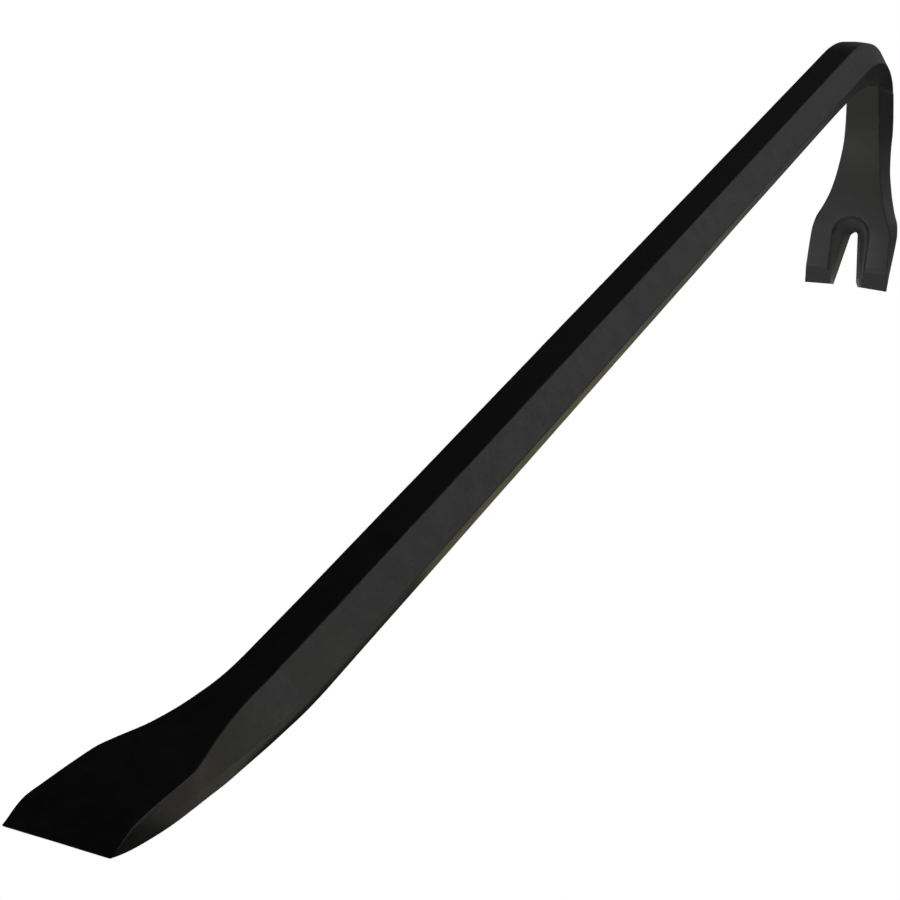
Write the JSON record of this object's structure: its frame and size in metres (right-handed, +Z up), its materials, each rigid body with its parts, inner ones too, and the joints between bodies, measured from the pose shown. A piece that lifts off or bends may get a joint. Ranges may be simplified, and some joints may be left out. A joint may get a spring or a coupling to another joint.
{
  "type": "pry bar",
  "caption": "Gooseneck pry bar forged from hexagonal bar: flared chisel blade at one end, hooked claw with a recessed V nail slot at the other.",
  "frame": {"origin": "centre of the bounding box's underside, on the level surface that the bar rests on", "axes": "+X from the chisel end to the gooseneck, +Z up in the resting pose on the blade's heel and the claw tips; the plane Y = 0 is the plane of symmetry"},
  "size_m": [0.5916, 0.0392, 0.1106],
  "materials": {
    "black_paint": "matt black paint over forged steel"
  },
  "bodies": {
    "root": {"forged_bar": "black_paint"}
  },
  "joints": []
}
